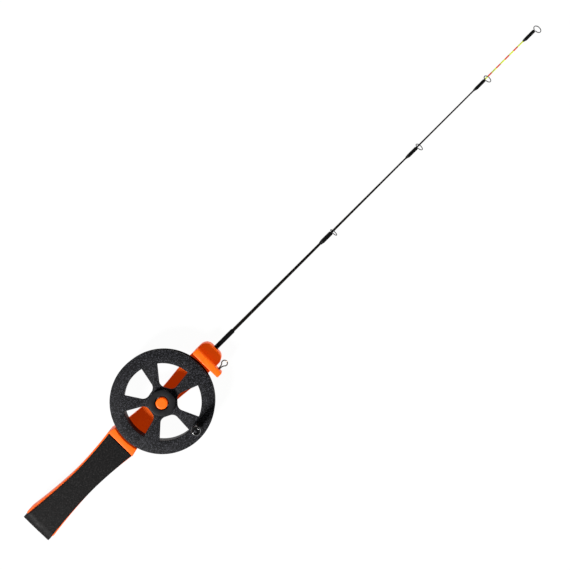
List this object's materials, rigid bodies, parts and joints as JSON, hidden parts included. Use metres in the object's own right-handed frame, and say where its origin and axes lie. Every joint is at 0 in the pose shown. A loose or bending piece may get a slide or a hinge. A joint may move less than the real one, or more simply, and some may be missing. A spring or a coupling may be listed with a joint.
{
  "type": "ice fishing rod",
  "caption": "Short ice fishing rod: waisted foam-faced handle, hand-wheel reel with a crank knob, wire line eye, and a thin whip with wire guides and a banded bright tip.",
  "frame": {"origin": "on the plane of the frame's flat back, under the middle of the rod's length and width", "axes": "+X along the rod from butt to tip, +Z out of the reel's front face, away from the flat back, +Y to the left when looking from the butt to the tip with the reel on top"},
  "size_m": [0.5138, 0.075, 0.0386],
  "materials": {
    "orange_plastic": "moulded satin, orange",
    "foam": "closed-cell foam, black, with a fine pore",
    "speckled_plastic": "spark-eroded mould texture, black",
    "smooth_plastic": "smooth satin, black",
    "gloss_plastic": "polished, black",
    "blank": "glass fibre blank, thin clear coat, near black",
    "wrap": "shrink tube, black",
    "tip_paint": "painted yellow-green with red bands",
    "steel": "drawn wire",
    "eye_wire": "drawn wire, slightly tarnished",
    "fibre_washer": "hard fibre"
  },
  "bodies": {
    "frame": {"frame_moulding": "orange_plastic", "grip_foam": "foam", "axle_pin": "orange_plastic", "friction_washer": "fibre_washer", "spring_washer": "steel", "screw_washer": "steel", "line_eye": "eye_wire"},
    "drag_screw": {"drag_screw": "steel"},
    "spool": {"spool_front_wheel": "speckled_plastic", "spool_drum": "smooth_plastic", "hub_bush": "smooth_plastic", "knob_pin": "steel"},
    "knob": {"crank_knob": "gloss_plastic"},
    "sleeve": {"butt_sleeve": "wrap"},
    "whip": {"blank": "blank", "guide_1": "steel", "guide_2": "steel", "guide_3": "steel", "wrap_1": "wrap", "wrap_2": "wrap", "wrap_3": "wrap", "tip_section": "tip_paint", "tip_guide": "steel", "tip_wrap": "wrap"}
  },
  "joints": [
    {"name": "spool_spin", "type": "hinge", "parent": "frame", "child": "spool", "pos_m": [-0.12753, 0, 0.0145], "axis": [0, 0, 1], "continuous": true},
    {"name": "knob_spin", "type": "hinge", "parent": "spool", "child": "knob", "pos_m": [-0.12199, -0.02989, 0.03], "axis": [0, 0, 1], "continuous": true},
    {"name": "drag_screw_turn", "type": "hinge", "parent": "frame", "child": "drag_screw", "pos_m": [-0.12753, 0, 0.005], "axis": [0, 0, 1], "range_deg": [-360, 90]},
    {"name": "whip_pull", "type": "slide", "parent": "frame", "child": "sleeve", "axis": [1, 0, 0], "range_m": [0, 0.013]},
    {"name": "whip_turn", "type": "hinge", "parent": "sleeve", "child": "whip", "pos_m": [-0.0723, 0, 0.0065], "axis": [1, 0, 0], "continuous": true}
  ]
}
